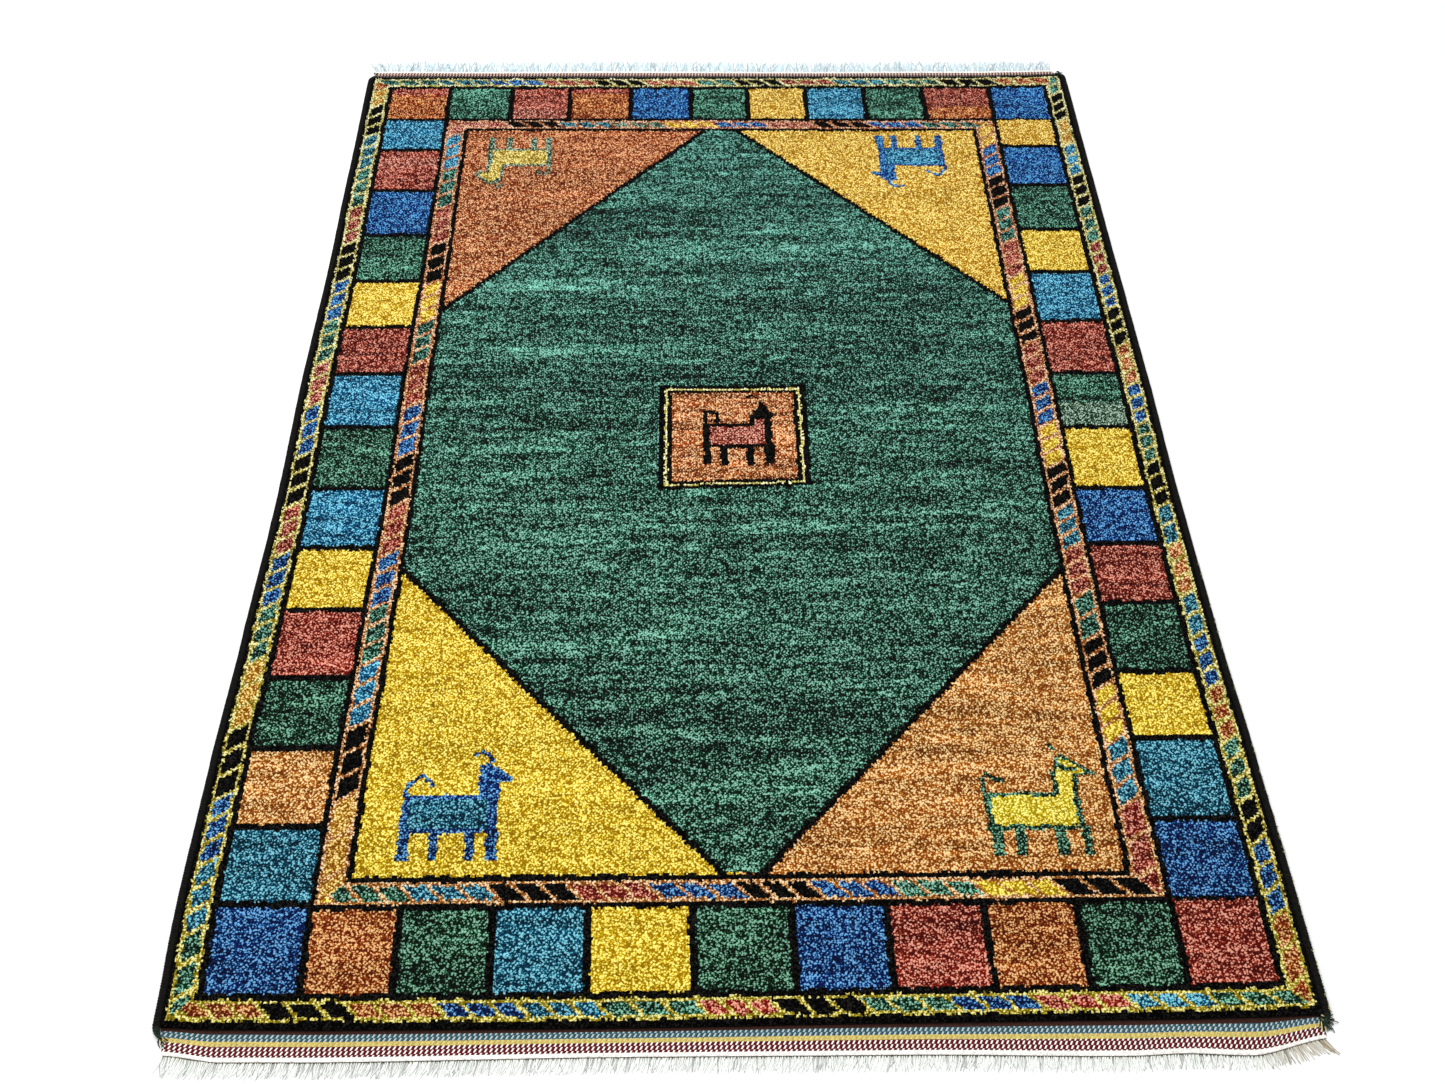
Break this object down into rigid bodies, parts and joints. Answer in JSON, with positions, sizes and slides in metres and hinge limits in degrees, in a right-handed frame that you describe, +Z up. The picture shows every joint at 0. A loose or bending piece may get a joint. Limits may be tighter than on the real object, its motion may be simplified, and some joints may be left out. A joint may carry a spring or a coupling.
{
  "type": "gabbeh rug",
  "caption": "Hand-knotted wool rug lying flat: thick pile field with flat-woven ends, overcast side selvedges and short cotton fringes at both ends.",
  "frame": {"origin": "middle of the rug's box, on the floor under it", "axes": "+Y towards the rug's far end along its length, +X to the right across it, +Z up out of the pile"},
  "size_m": [1.2158, 1.8456, 0.011],
  "materials": {
    "pile_wool": "knotted wool pile in green, yellow, orange, red, blue and black, cut short and softly lustrous",
    "overcast_wool": "black wool yarn wound closely over the side cords",
    "fringe_cotton": "off-white twisted cotton warp ends"
  },
  "bodies": {
    "root": {"rug_cloth": "pile_wool", "left_selvedge": "overcast_wool", "right_selvedge": "overcast_wool", "near_fringe": "fringe_cotton", "far_fringe": "fringe_cotton"}
  },
  "joints": []
}
